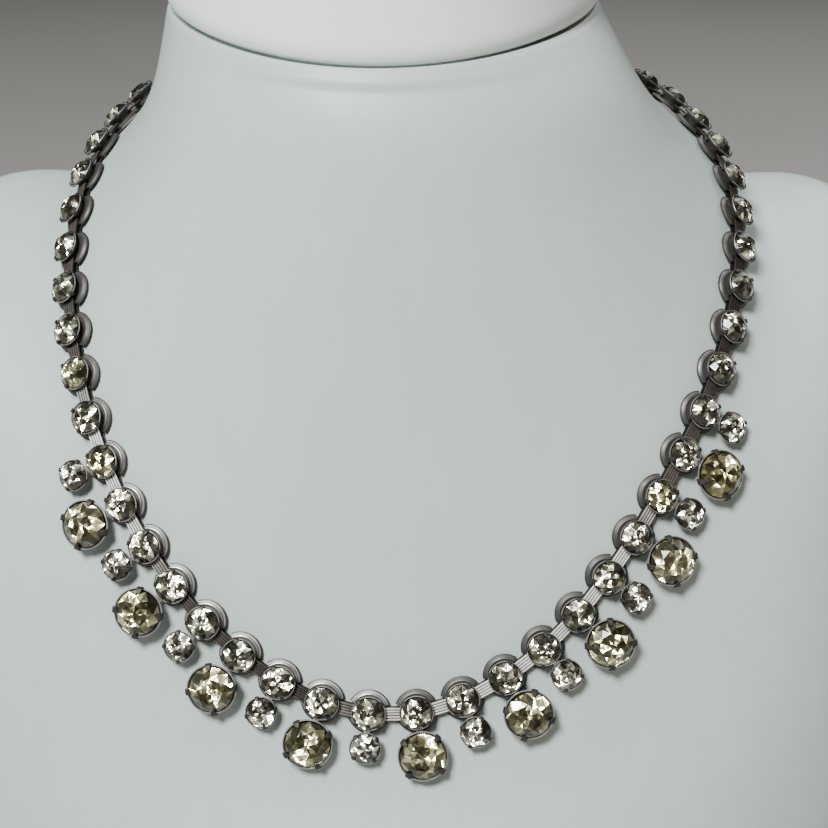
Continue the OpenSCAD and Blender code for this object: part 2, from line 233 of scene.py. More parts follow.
class Shell:
    """A mesh being put together: points in millimetres, the corners of each face, and at each
    corner its colour and how far light leaves aslant, as a vector added to the face's direction."""

    def __init__(self):
        self.points = []
        self.faces = []
        self.colours = []
        self.slants = []
        self.count = 0

    def add(self, points, faces, colour=(0, 0, 0), slants=None):
        """Adds points and faces. A colour is for all, or a list with one for each face or corner."""
        points = np.asarray(points, float)
        self.points.append(points)
        for i, face in enumerate(faces):
            self.faces.append([self.count + v for v in face])
            tint = colour[i] if isinstance(colour, list) else colour
            self.colours.extend(tint if isinstance(tint, list) else [tint] * len(face))
        self.slants.extend(slants or [(0, 0, 0)] * sum(len(f) for f in faces))
        self.count += len(points)

    def join(self, other, at, tarnish_and_shade=0.0):
        """Adds another shell, moved to a place, which is (point, x, y, z). Tarnish and painted shade
        darken it.
        """
        p, *axes = at
        self.points.append(p + np.vstack(other.points) @ np.array(axes))
        self.faces.extend([self.count + v for v in face] for face in other.faces)
        for c in other.colours:
            self.colours.append((c[0] + tarnish_and_shade * (1 - c[0]), *c[1:]))
        self.slants.extend((np.array(other.slants) @ np.array(axes)).tolist())
        self.count += other.count

    def piece(self, name, material, nodes, smooth_angle=None):
        """Makes the mesh a piece of the scene, in place of the solids of the nodes."""
        mesh = bpy.data.meshes.new(name)
        mesh.from_pydata((np.vstack(self.points) * MM).tolist(), [], self.faces)
        mesh.validate()
        tint = mesh.attributes.new("tint", "FLOAT_COLOR", "CORNER")
        values = np.ones((len(self.colours), 4), np.float32)
        values[:, :3] = self.colours
        tint.data.foreach_set("color", values.ravel())
        slant = mesh.attributes.new("slant", "FLOAT_VECTOR", "CORNER")
        slant.data.foreach_set("vector", np.array(self.slants, np.float32).ravel())
        if smooth_angle:
            mesh.polygons.foreach_set("use_smooth", [True] * len(mesh.polygons))
            mesh.set_sharp_from_angle(angle=math.radians(smooth_angle))
        mesh.materials.append(material)
        obj = bpy.data.objects.new(name, mesh)
        bpy.context.scene.collection.objects.link(obj)
        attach(obj, "root")
        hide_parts(*nodes)


def grey(v):
    return (v, v, v)


def from_curve(x, curve):
    """A curve's value at x, between the pairs that it is given by."""
    return np.interp(x, *zip(*curve))


def rounded(v, power):
    """A cosine or sine bent so that the ring it draws is nearer a square."""
    return np.sign(v) * np.abs(v) ** power


def ring_faces(rings, sides, closed_rings=False):
    """Quads between rings of points, each ring closed on itself."""
    faces = []
    for i in range(rings if closed_rings else rings - 1):
        n = (i + 1) % rings
        for j in range(sides):
            m = (j + 1) % sides
            faces.append([i * sides + j, i * sides + m, n * sides + m, n * sides + j])
    return faces


def capped_tube(rings, sides):
    """The faces of a tube of rings of points, closed at both ends."""
    end = (rings - 1) * sides
    return ring_faces(rings, sides) + [list(range(sides))[::-1], list(range(end, end + sides))]


def lathe(profile, sides, centre=(0, 0, 0)):
    """A closed profile of (radius, height) turned round Z, and which stretch each face is of.
    Points on the axis close it with fans."""
    a = 2 * math.pi * np.arange(sides) / sides
    points, index = [], []
    count = 0
    for r, z in profile:
        if r < TINY:
            index.append([count] * sides)
            points.append(np.array([[0, 0, z]]))
        else:
            index.append([count + j for j in range(sides)])
            points.append(np.stack([r * np.cos(a), r * np.sin(a), np.full(sides, z)], 1))
        count += len(points[-1])
    faces, stretches = [], []
    on_axis = profile[0][0] < TINY
    for i in range(len(profile) - 1 if on_axis else len(profile)):
        n = (i + 1) % len(profile)
        for j in range(sides):
            m = (j + 1) % sides
            quad = [index[i][j], index[n][j], index[n][m], index[i][m]]
            faces.append([v for v, w in zip(quad, quad[1:] + quad[:1]) if v != w])
            stretches.append(i)
    return np.vstack(points) + np.array(centre), faces, stretches


def temp_object(points, faces):
    mesh = bpy.data.meshes.new("temp")
    mesh.from_pydata(points.tolist(), [], faces)
    obj = bpy.data.objects.new("temp", mesh)
    bpy.context.scene.collection.objects.link(obj)
    return obj


def box_mesh(low, high):
    xs, ys, zs = zip(low, high)
    points = np.array([[x, y, z] for x in xs for y in ys for z in zs])
    faces = [[0, 1, 3, 2], [4, 6, 7, 5], [0, 4, 5, 1], [2, 3, 7, 6], [0, 2, 6, 4], [1, 5, 7, 3]]
    return points, faces


def carved(points, faces, boxes, bevel):
    """The mesh with boxes cut out of it and its sharp edges rounded off."""
    body = temp_object(points, faces)
    cutters = [temp_object(*box_mesh(*b)) for b in boxes]
    for cutter in cutters:
        cut = body.modifiers.new("cut", "BOOLEAN")
        cut.operation, cut.solver, cut.object = "DIFFERENCE", "EXACT", cutter
    edge = body.modifiers.new("edge", "BEVEL")
    edge.width, edge.segments = bevel, EDGE_STEPS
    edge.limit_method, edge.angle_limit = "ANGLE", math.radians(EDGE_ANGLE)
    depsgraph = bpy.context.evaluated_depsgraph_get()
    done = body.evaluated_get(depsgraph).to_mesh()
    new_points = np.array([v.co[:] for v in done.vertices])
    new_faces = [list(p.vertices) for p in done.polygons]
    for obj in [body, *cutters]:
        mesh = obj.data
        bpy.data.objects.remove(obj)
        bpy.data.meshes.remove(mesh)
    return new_points, new_faces


# The plates

DECK_H = 0.6
DECK_UNDER = 0.32
BAR_IN, BAR_OUT, SLOT_IN = 2.5, 2.9, 1.77
BAND_W = 2.2
SLOT_W = BAND_W + 0.4
NOTCH_W = SLOT_W + 0.3
NOTCH_OUT = BAR_OUT + 2
CUT_LOW, CUT_HIGH = -1, 2
PLATE_SIDES = 72
PLATE_EDGE = 0.035
PLATE_SMOOTH = 38
# A plate's section as distance from its middle and height: the deck, the raised ring, the slope
# and the rim, and back along the underside.
PLATE_PROFILE = [
    (0, DECK_H), (1.5, DECK_H), (2.5, DECK_H), (2.7, DECK_H + 0.01), (2.78, DECK_H + 0.04),
    (2.86, DECK_H + 0.03), (2.96, DECK_H - 0.02), (3.05, DECK_H - 0.07), (3.14, DECK_H - 0.14),
    (3.24, DECK_H - 0.22), (3.33, 0.29), (3.4, 0.22), (3.46, 0.2), (3.52, 0.18),
    (PLATE_R, 0.14), (PLATE_R, 0.07), (3.51, 0.02), (3.42, 0), (3.3, 0.06), (3.15, 0.2),
    (3.0, DECK_UNDER), (0, DECK_UNDER),
]
# How dark the plating is painted, from 0 to 1, at each distance from a plate's middle: dull and
# in painted shade on the deck, a painted highlight on the ring and the slope, painted shade in the
# creases and at the outer edge.
PLATE_PAINTED_LIGHT = [
    (0, 0.5), (2.66, 0.5), (2.74, 0.8), (2.84, 0.3), (2.91, 0.2), (3.0, 0.4),
    (3.1, 0.35), (3.19, 0.0), (3.3, 0.0), (3.4, 0.75), (3.48, 0.5), (PLATE_R, 0.7),
]
# Painted shade on the plate's underside, below this height, and inside its slots, out to this edge
UNDER_H, UNDER_SHADE = 0.2, 0.8
SLOT_EDGE, SLOT_SHADE = 0.03, 0.85
RIM_INSIDE = 2.86
RIM_SHADE = 0.6
# The rims carry a painted highlight where they face this way, which is up in the picture, and
# painted shade where they face away.
SHINE = np.array([0, 0.4, 0.9])
# How far tarnish and painted shade darken the plates by station: least at the left of the front.
PLATE_TARNISH_AND_SHADE = [
    (-13, 0.6), (-11, 0.45), (-8, 0.0), (-1, 0.05), (0, 0.5), (1, 0.62), (7, 0.62), (10, 0.45),
    (26, 0.6),
]


def cut_box(end, inside, outside, width):
    """A box that cuts through a plate at one end, between two distances from its middle."""
    low, high = sorted([end * inside, end * outside])
    return (low, -width / 2, CUT_LOW), (high, width / 2, CUT_HIGH)


def plate_painted_light(mid):
    """How dark the plating is painted at each face, from the faces' middles, in painted light and
    shade.
    """
    tone = from_curve(np.hypot(mid[:, 0], mid[:, 1]), PLATE_PAINTED_LIGHT)
    tone = np.where(mid[:, 2] < UNDER_H, np.maximum(tone, UNDER_SHADE), tone)
    beside, along = np.abs(mid[:, 1]), np.abs(mid[:, 0])
    in_slot = (beside < SLOT_W / 2 + SLOT_EDGE) & (along > SLOT_IN - SLOT_EDGE)
    return np.where(in_slot, SLOT_SHADE, tone)


def plate_template():
    """A plate's points and faces, the faces' middles and the painted highlight and shade of each."""
    points, faces, _ = lathe(PLATE_PROFILE[::-1], PLATE_SIDES)
    boxes = []
    for end in (-1, 1):
        boxes.append(cut_box(end, SLOT_IN, BAR_IN, SLOT_W))
        boxes.append(cut_box(end, BAR_OUT, NOTCH_OUT, NOTCH_W))
    points, faces = carved(points, faces, boxes, PLATE_EDGE)
    mid = np.array([points[f].mean(0) for f in faces])
    return points, faces, mid, plate_painted_light(mid)


def add_plate(shell, template, k):
    """A station's plate, whose rim has more painted shade the more it faces down."""
    points, faces, mid, tone = template
    _, x, y, _ = place(k)
    r = np.hypot(mid[:, 0], mid[:, 1])
    facing = mid[:, :2] @ unit([x @ SHINE, y @ SHINE]) / np.maximum(r, 1)
    shade = np.where(r > RIM_INSIDE, RIM_SHADE * (1 - facing) / 2, 0)
    part = Shell()
    part.add(points, faces, [grey(t) for t in np.clip(tone + shade, 0, 1)])
    shell.join(part, place(k), float(from_curve(k, PLATE_TARNISH_AND_SHADE)))


# The cups and the drops

# Each setting's radius, the height of its foot, and how far a drop hangs below its link's middle
LINK_R, SMALL_R, LARGE_R = 2.8, 2.6, 4.1
LINK_FOOT, SMALL_FOOT, LARGE_FOOT = 0.55, 0.6, 0.2
SMALL_REACH, LARGE_REACH = 5.65, 7.0
CUP_SIDES = 48
# A cup's section as parts of the setting's radius: distance from the axis and height, up the
# outside and down the inside. The tones are painted shade on each stretch: darkest under the
# foot, lighter up the outside to the rim, and dark again inside.
CUP_PROFILE = [
    (0, 0.02), (0.56, 0.02), (0.6, 0.05), (0.61, 0.12), (0.63, 0.17), (0.67, 0.23), (0.75, 0.31),
    (0.84, 0.38), (0.95, 0.47), (0.99, 0.51), (1.0, 0.55), (0.985, 0.575), (0.955, 0.58),
    (0.93, 0.56), (0.92, 0.52), (0.85, 0.43), (0.74, 0.34), (0.58, 0.22), (0.48, 0.14), (0, 0.12),
]
CUP_SHADE = [
    1, 1, 1, 0.95, 0.9, 0.85, 0.8, 0.75, 0.65, 0.5, 0.42, 0.42, 0.5, 0.8, 0.9, 0.9, 0.9, 0.9, 0.9,
]
PRONGS = 4
# A prong's way up and over the stone, as parts of the setting's radius: distance from the axis,
# height, half width and half thickness.
PRONG_PATH = [
    (0.90, 0.34, 0.11, 0.03), (0.97, 0.43, 0.12, 0.035), (1.01, 0.52, 0.125, 0.035),
    (1.02, 0.60, 0.13, 0.035), (1.0, 0.67, 0.13, 0.035), (0.95, 0.71, 0.12, 0.035),
    (0.89, 0.74, 0.10, 0.032), (0.83, 0.77, 0.07, 0.026), (0.785, 0.785, 0.03, 0.02),
]
PRONG_SIDES = 8
PRONG_POWER = 0.5
PRONG_TONE, PRONG_TIP_TONE = 0.95, 0.8
# The solder bridge starts and ends at this part of the settings' radii.
BRIDGE_PART = 0.72
BRIDGE_STEPS, BRIDGE_SIDES, BRIDGE_POWER = 7, 12, 0.7
BRIDGE_MID_H, BRIDGE_HALF_W, BRIDGE_HALF_H = 1.5, 0.66, 0.32
BRIDGE_WAIST = 0.22
BRIDGE_TONE = 0.25


def prong(shell, r, angle, foot, centre_y):
    """One claw: an oval section swept up the cup's side and in over the stone."""
    a = 2 * math.pi * np.arange(PRONG_SIDES) / PRONG_SIDES
    along = np.gradient(np.array([p[:2] for p in PRONG_PATH]), axis=0)
    along /= np.linalg.norm(along, axis=1, keepdims=True)
    rings = []
    for (out, up, wide, thick), (dx, dz) in zip(PRONG_PATH, along):
        through = thick * rounded(np.sin(a), PRONG_POWER)
        across = wide * rounded(np.cos(a), PRONG_POWER)
        rings.append(np.stack([out + dz * through, across, up - dx * through], 1))
    x, y, z = (np.vstack(rings) * r).T
    c, s = math.cos(angle), math.sin(angle)
    points = np.stack([c * x - s * y, s * x + c * y, z], 1) + np.array([0, centre_y, foot])
    faces = capped_tube(len(rings), PRONG_SIDES)
    colours = [grey(PRONG_TONE)] * (len(faces) - 1) + [grey(PRONG_TIP_TONE)]
    shell.add(points, faces, colours)


def setting(shell, r, foot, centre_y):
    """A prong cup of radius r, whose foot is at the height foot."""
    profile = [(p * r, z * r) for p, z in CUP_PROFILE][::-1]
    points, faces, stretches = lathe(profile, CUP_SIDES, (0, centre_y, foot))
    tones = CUP_SHADE[::-1]
    shell.add(points, faces, [grey(tones[i]) for i in stretches])
    for q in range(PRONGS):
        prong(shell, r, math.radians((q + 0.5) * 360 / PRONGS), foot, centre_y)


def bridge(shell, r, reach):
    """The solder between a link's cup and its drop."""
    near, far = -BRIDGE_PART * LINK_R, -(reach - BRIDGE_PART * r)
    a = 2 * math.pi * np.arange(BRIDGE_SIDES) / BRIDGE_SIDES
    rings = []
    for i in range(BRIDGE_STEPS):
        f = i / (BRIDGE_STEPS - 1)
        waist = 1 - BRIDGE_WAIST * math.sin(math.pi * f)
        x = rounded(np.cos(a), BRIDGE_POWER) * BRIDGE_HALF_W * waist
        y = np.full(BRIDGE_SIDES, near + (far - near) * f)
        z = BRIDGE_MID_H + rounded(np.sin(a), BRIDGE_POWER) * BRIDGE_HALF_H * waist
        rings.append(np.stack([x, y, z], 1))
    shell.add(np.vstack(rings), capped_tube(BRIDGE_STEPS, BRIDGE_SIDES), grey(BRIDGE_TONE))


def cups_template(drop=None):
    """A link's cup, and a second cup below it where there is a drop."""
    shell = Shell()
    setting(shell, LINK_R, LINK_FOOT, 0)
    if drop:
        r, reach, foot = drop
        setting(shell, r, foot, -reach)
        bridge(shell, r, reach)
    return shell


# The bands

BAR_MIDDLE = (BAR_IN + BAR_OUT) / 2
LOOP_T = 0.2
LOOP_LOW, LOOP_HIGH = -0.15, 1.05
LOOP_PLAY = (BAR_IN - SLOT_IN - LOOP_T) / 2
LOOP_CORNER = 0.3
CORNER_STEPS = 4
RIBS = 5
RIB_H = 0.13
# Across one rib: the place and the height, as parts of its width and height, and how dark it is
# painted from there to the next place: painted shade in the groove and on the flanks, more on one
# flank, and bright on the top.
RIB_SHAPE_AND_SHADE = [(0.1, 0, 0.8), (0.22, 0.8, 0.0), (0.5, 1, 0.0), (0.78, 0.8, 0.3), (0.9, 0, 1)]
# The part of the ribs' height that is left under the plates
RIB_LEFT = 0.2
# How far the band's back is inset from its edges, and the painted shade on it
BACK_INSET, BACK_SHADE = 0.03, 0.8
BAND_SMOOTH = 50
# How far tarnish and painted shade darken the bands by station: bright in front and at the upper
# left, dark elsewhere.
BAND_TARNISH_AND_SHADE = [
    (-12, 0.7), (-10, 0.0), (-8, 0.05), (-6, 0.75), (-3, 0.85), (-1, 0.15), (1, 0.0), (5, 0.0),
    (7, 0.6), (11, 1.0),
]


def band_section():
    """A band's section: its points across the band, and how far each is out of the strip."""
    pitch = BAND_W / RIBS
    section, tones = [], []
    for i in range(RIBS):
        start = -BAND_W / 2 + i * pitch
        for f, h, tone in RIB_SHAPE_AND_SHADE:
            section.append((start + f * pitch, h * RIB_H))
            tones.append(tone)
    for y in (BAND_W / 2 - BACK_INSET, -BAND_W / 2 + BACK_INSET):
        section.append((y, -LOOP_T))
        tones.append(BACK_SHADE)
    return section, tones


def band(shell, k):
    """The band after station k: a flat loop round a bar of each of its two plates."""
    p0, x0, _, z0 = place(k)
    p1, x1, _, z1 = place(k + 1)
    a, b = p0 + BAR_MIDDLE * x0, p1 - BAR_MIDDLE * x1
    gap = np.linalg.norm(b - a)
    x = (b - a) / gap
    z = z0 + z1
    z = unit(z - (z @ x) * x)
    half = gap / 2 + BAR_MIDDLE - BAR_IN + LOOP_PLAY + LOOP_T
    right, left = half - LOOP_CORNER, LOOP_CORNER - half
    top, bottom = LOOP_HIGH - LOOP_CORNER, LOOP_LOW + LOOP_CORNER
    section, tones = band_section()
    points = []
    for corner, (cx, cz) in enumerate(((right, top), (left, top), (left, bottom), (right, bottom))):
        for q in range(CORNER_STEPS + 1):
            t = math.radians(90 * corner + 90 * q / CORNER_STEPS)
            nx, nz = math.cos(t), math.sin(t)
            px, pz = cx + LOOP_CORNER * nx, cz + LOOP_CORNER * nz
            keep = 1 if pz > bottom + LOOP_CORNER else RIB_LEFT
            for y, h in section:
                out = h if h < 0 else h * keep
                points.append((px + nx * out, y, pz + nz * out))
    rings = len(points) // len(section)
    part = Shell()
    part.add(points, ring_faces(rings, len(section), closed_rings=True),
             [grey(t) for t in tones] * rings)
    tarnish_and_shade = float(from_curve(k, BAND_TARNISH_AND_SHADE))
    shell.join(part, ((a + b) / 2, x, np.cross(z, x), z), tarnish_and_shade)


# The stones

# Parts of a stone as parts of its setting's radius: distances from the axis, then heights
TABLE_PART, STAR_PART, GIRDLE_PART = 0.52, 0.72, 0.9
CENTRE_PART, INNER_PART, CULET_PART = 0.1, 0.33, 0.12
TABLE_Z, GIRDLE_HIGH, GIRDLE_LOW, CULET_Z = 0.96, 0.6, 0.55, 0.2
FOLD = 8
GIRDLE_ZONE = 7
HALF_TURN = 180 / FOLD
FLAT_PART = math.cos(math.radians(HALF_TURN))
CROWN_SLOPE = (TABLE_Z - GIRDLE_HIGH) / (GIRDLE_PART - TABLE_PART)
STAR_Z = TABLE_Z - CROWN_SLOPE * (STAR_PART * FLAT_PART - TABLE_PART)


def circle(n, r, z, turn):
    """Points on a level circle, the first of them at the angle turn in degrees."""
    a = np.radians(turn + 360 * np.arange(n) / n)
    return np.stack([r * np.cos(a), r * np.sin(a), np.full(n, z)], 1)


def stone_mesh():
    """A round cut: a table with the star seen through it, crown facets, a girdle and a pavilion.
    Zones are counted outward from the table's middle, and the last is girdle and pavilion."""
    rings = [
        circle(FOLD, CENTRE_PART, TABLE_Z, HALF_TURN), circle(FOLD, INNER_PART, TABLE_Z, 0),
        circle(FOLD, TABLE_PART, TABLE_Z, HALF_TURN), circle(FOLD, STAR_PART, STAR_Z, 0),
        circle(2 * FOLD, GIRDLE_PART, GIRDLE_HIGH, 0), circle(2 * FOLD, GIRDLE_PART, GIRDLE_LOW, 0),
        circle(FOLD, CULET_PART, CULET_Z, 0), circle(FOLD, TABLE_PART * FLAT_PART, TABLE_Z, 0),
    ]
    # The first point of each ring: centre, inner star, table, crown, the girdle's upper and
    # lower edge, culet, and the middles of the table's sides.
    c, s, t, k, g, h, p, m = np.cumsum([0] + [len(r) for r in rings[:-1]]).tolist()
    faces, zones = [list(range(FOLD))], [0]
    for i in range(FOLD):
        j, n = (i + FOLD - 1) % FOLD, (i + 1) % FOLD
        at, before, after = 2 * i, (2 * i - 1) % (2 * FOLD), (2 * i + 2) % (2 * FOLD)
        for face, zone in (
            ([c + j, s + i, c + i], 1), ([s + i, s + n, c + i], 2),
            ([s + i, t + j, m + i], 3), ([s + i, m + i, t + i], 3), ([s + i, t + i, s + n], 2),
            ([m + i, t + j, k + i], 4), ([m + i, k + i, t + i], 4),
            ([t + i, k + i, g + at + 1], 5), ([t + i, g + at + 1, k + n], 5),
            ([k + i, g + at, g + at + 1], 6), ([k + i, g + before, g + at], 6),
            ([g + at, h + at, h + at + 1, g + at + 1], GIRDLE_ZONE),
            ([g + at + 1, h + at + 1, h + after, g + after], GIRDLE_ZONE),
            ([h + at, p + i, h + at + 1], GIRDLE_ZONE),
            ([h + at + 1, p + i, p + n, h + after], GIRDLE_ZONE),
        ):
            faces.append(face)
            zones.append(zone)
    faces.append([p + i for i in range(FOLD)][::-1])
    zones.append(GIRDLE_ZONE)
    return np.vstack(rings), faces, zones


STONE_POINTS, STONE_FACES, STONE_ZONES = stone_mesh()
# How far the pavilion behind each zone turns the light aside, and how much that differs between
# the corners of a facet
ZONE_SLANT = [0.15, 0.2, 0.25, 0.25, 0.25, 0.25, 0.2, 0.0]
CORNER_SLANT = 0.12
# Midway between the way to the main light and the way to the eye: foil behind a bright facet
# sends the light back from there.
GLINT = unit([-0.13, -0.78, 0.61])
FOIL_START, FOIL_SPAN = 0.45, 0.3
FOIL_CALM = 0.4
# How light the facets are painted, as painted reflection: the mean, how far that swings round a
# zone and across the stone, the chance of each facet and corner, and the painted shade at the
# girdle and towards the edge
MEAN_LIGHT, LOBE_SWING, SIDE_SWING = 0.5, 0.36, 0.32
LOBE_COUNTS = [2, 3, 3, 4]
FACET_CHANCE, CORNER_CHANCE = 0.09, 0.1
GIRDLE_FALL, EDGE_FALL, EDGE_START = 0.5, 1.2, 0.76
# How evenly the point that splits a facet is drawn
SPLIT_EVENNESS = 4


def stone(shell, r, foot, centre_y, warm, rng, k, dim=0.0):
    """One stone. Each facet is split where the facets behind it show through, in lighter and
    darker parts of painted reflection, and its tint holds how light it is painted and how warm."""
    turn = math.radians(rng.uniform(0, 45))
    c, s = math.cos(turn), math.sin(turn)
    spin = np.array([[c, s, 0], [-s, c, 0], [0, 0, 1]])
    bright_side = rng.uniform(0, 2 * math.pi)
    glint = spin @ (np.array(place(k)[1:]) @ GLINT)
    lobes = rng.choice(LOBE_COUNTS, size=4)
    phases = rng.uniform(0, 2 * math.pi, 4)
    points, faces, colours, slants = list(STONE_POINTS), [], [], []
    for face, zone in zip(STONE_FACES, STONE_ZONES):
        corners = STONE_POINTS[face]
        mid = (corners * rng.dirichlet([SPLIT_EVENNESS] * len(face))[:, None]).sum(0)
        points.append(mid)
        a, out = math.atan2(mid[1], mid[0]), math.hypot(mid[0], mid[1])
        light = MEAN_LIGHT - dim + LOBE_SWING * math.cos(lobes[zone // 2] * a + phases[zone // 2])
        light += SIDE_SWING * out * math.cos(a - bright_side) + rng.normal(0, FACET_CHANCE)
        light -= GIRDLE_FALL if zone == GIRDLE_ZONE else EDGE_FALL * max(0, out - EDGE_START)
        side = rng.uniform(0, 2 * math.pi)
        reach = ZONE_SLANT[zone] * rng.uniform(0.3, 1)
        facing = unit(np.cross(corners[1] - corners[0], corners[2] - corners[0]))
        back = 0 if zone == GIRDLE_ZONE else min(max((light - FOIL_START) / FOIL_SPAN, 0), 1)
        aslant = (1 - FOIL_CALM * back) * reach * np.array([math.cos(side), math.sin(side), 0])
        turned = back * (glint - facing) + aslant
        lights = np.clip(light + rng.normal(0, CORNER_CHANCE, len(face) + 1), 0, 1)
        shifts = rng.normal(0, CORNER_SLANT, (len(face) + 1, 2))
        turns = turned + np.pad(shifts, ((0, 0), (0, 1)))
        for i, v in enumerate(face):
            n = (i + 1) % len(face)
            faces.append([v, face[n], len(points) - 1])
            colours.append([(lights[q], warm, 0) for q in (i, n, -1)])
            slants.extend(turns[q] for q in (i, n, -1))
    part = Shell()
    points = np.array(points) @ spin * r + np.array([0, centre_y, foot])
    part.add(points, faces, colours, (np.array(slants) @ spin).tolist())
    shell.join(part, place(k))


# Material tools


def material(name):
    """A new material, with its nodes, its links and its shader."""
    mat = bpy.data.materials.new(name)
    mat.use_nodes = True
    nodes = mat.node_tree.nodes
    return mat, nodes, mat.node_tree.links, nodes["Principled BSDF"]


def noise(nodes, links, scale, detail=3.0, stretch=None):
    """A noise texture in object space, stretched where the grain runs one way."""
    coord = nodes.new("ShaderNodeTexCoord")
    source = coord.outputs["Object"]
    if stretch:
        mapping = nodes.new("ShaderNodeMapping")
        mapping.inputs["Scale"].default_value = stretch
        links.new(source, mapping.inputs["Vector"])
        source = mapping.outputs["Vector"]
    tex = nodes.new("ShaderNodeTexNoise")
    tex.inputs["Scale"].default_value = scale
    tex.inputs["Detail"].default_value = detail
    links.new(source, tex.inputs["Vector"])
    return tex.outputs["Fac"]


def ramp(nodes, links, source, stops):
    """Colours at places from 0 to 1, blended between the places."""
    node = nodes.new("ShaderNodeValToRGB")
    elements = node.color_ramp.elements
    while len(elements) < len(stops):
        elements.new(0.5)
    for e, (at, colour) in zip(elements, stops):
        e.position, e.color = at, (*colour, 1)
    links.new(source, node.inputs["Fac"])
    return node.outputs["Color"]


def bump(nodes, links, bsdf, source, strength, distance):
    """Fine relief on the surface, drawn by source."""
    node = nodes.new("ShaderNodeBump")
    node.inputs["Strength"].default_value = strength
    node.inputs["Distance"].default_value = distance
    links.new(source, node.inputs["Height"])
    links.new(node.outputs["Normal"], bsdf.inputs["Normal"])


def mixed(nodes, links, kind, fac, a, b):
    """Two colours mixed. The share and the colours are fixed or come from other nodes."""
    node = nodes.new("ShaderNodeMix")
    node.data_type, node.blend_type = "RGBA", kind
    for name, value in (("Factor", fac), ("A", a), ("B", b)):
        if isinstance(value, bpy.types.NodeSocket):
            links.new(value, node.inputs[name])
        else:
            node.inputs[name].default_value = value
    return node.outputs["Result"]


def maths(nodes, links, operation, a, part, b=None):
    """A sum with the value a, the fixed number part and, where it is given, the value b."""
    node = nodes.new("ShaderNodeMath")
    node.operation = operation
    node.inputs[1].default_value = part
    links.new(a, node.inputs[0])
    if b is not None:
        links.new(b, node.inputs[2])
    return node.outputs["Value"]


def vector_maths(nodes, links, operation, a, part=None, b=None):
    """The same with vectors, whose fixed part is alike in X, Y and Z."""
    node = nodes.new("ShaderNodeVectorMath")
    node.operation = operation
    if part is not None:
        node.inputs[1].default_value = (part, part, part)
    links.new(a, node.inputs[0])
    if b is not None:
        links.new(b, node.inputs[2])
    return node.outputs["Vector"]


def attribute(nodes, name):
    node = nodes.new("ShaderNodeAttribute")
    node.attribute_name = name
    return node


def channels(nodes, links, colour):
    """The first two channels of a colour, each on its own."""
    node = nodes.new("ShaderNodeSeparateColor")
    links.new(colour, node.inputs["Color"])
    return node.outputs["Red"], node.outputs["Green"]


# The materials

# The plating's clouds, with how far they darken it, and its scratches
CLOUD_SCALE, CLOUD_DEPTH = 900, 0.3
SCRATCH_SCALE, SCRATCH_STRENGTH, SCRATCH_DEPTH = 2600, 0.12, 0.05 * MM
# How metallic the plating is where its tone, of tarnish and painted shade, is halfway and darkest
WORN_METALLIC, DARK_METALLIC = 0.65, 0.6


def silver(name, stops, metallic, rough_low, rough_high):
    """Worn silver plating: its tint's tone holds polish, tarnish, painted highlights and painted
    shade.
    """
    mat, nodes, links, bsdf = material(name)
    cloud_stops = [(0.3, grey(0.0)), (0.75, grey(CLOUD_DEPTH))]
    cloud = ramp(nodes, links, noise(nodes, links, CLOUD_SCALE, 4), cloud_stops)
    tint = attribute(nodes, "tint").outputs["Color"]
    tone, _ = channels(nodes, links, mixed(nodes, links, "ADD", 0.5, tint, cloud))
    links.new(ramp(nodes, links, tone, stops), bsdf.inputs["Base Color"])
    shares = [(0.1, grey(metallic)), (0.5, grey(WORN_METALLIC)), (1.0, grey(DARK_METALLIC))]
    links.new(ramp(nodes, links, tone, shares), bsdf.inputs["Metallic"])
    roughness = [(0.0, grey(rough_low)), (1.0, grey(rough_high))]
    links.new(ramp(nodes, links, tone, roughness), bsdf.inputs["Roughness"])
    scratches = noise(nodes, links, SCRATCH_SCALE, 3)
    bump(nodes, links, bsdf, scratches, SCRATCH_STRENGTH, SCRATCH_DEPTH)
    return mat


# Painted light inside the stones: patches of painted reflection behind the facets, and how far
# they lighten, darken and turn it
PATCH_SCALE, PATCH_SMOOTHNESS = 600, 0.35
PATCH_LIGHT = 0.3
PATCH_SLANT = 0.14
# What a stone shows from its darkest to its lightest, clear, champagne and amber
CLEAR = [
    (0.0, (0.034, 0.031, 0.025)), (0.25, (0.07, 0.065, 0.052)), (0.48, (0.15, 0.142, 0.11)),
    (0.64, (0.37, 0.36, 0.29)), (0.86, (0.87, 0.84, 0.68)),
]
CHAMPAGNE = [
    (0.0, (0.044, 0.038, 0.018)), (0.25, (0.085, 0.077, 0.036)), (0.48, (0.16, 0.146, 0.07)),
    (0.62, (0.36, 0.333, 0.18)), (0.86, (1.0, 0.9, 0.47)),
]
AMBER = [
    (0.0, (0.05, 0.039, 0.014)), (0.25, (0.1, 0.08, 0.03)), (0.48, (0.19, 0.155, 0.062)),
    (0.66, (0.42, 0.335, 0.14)), (0.9, (1.0, 0.88, 0.5)),
]


def slanted(nodes, links, patches):
    """The surface's direction, turned by what the facets behind it do to the light."""
    surface = nodes.new("ShaderNodeNewGeometry").outputs["Normal"]
    slant = attribute(nodes, "slant").outputs["Vector"]
    centred = vector_maths(nodes, links, "SUBTRACT", patches, 0.5)
    turned = vector_maths(nodes, links, "MULTIPLY_ADD", slant, 1.0, surface)
    turned = vector_maths(nodes, links, "MULTIPLY_ADD", centred, PATCH_SLANT, turned)
    return vector_maths(nodes, links, "NORMALIZE", turned)


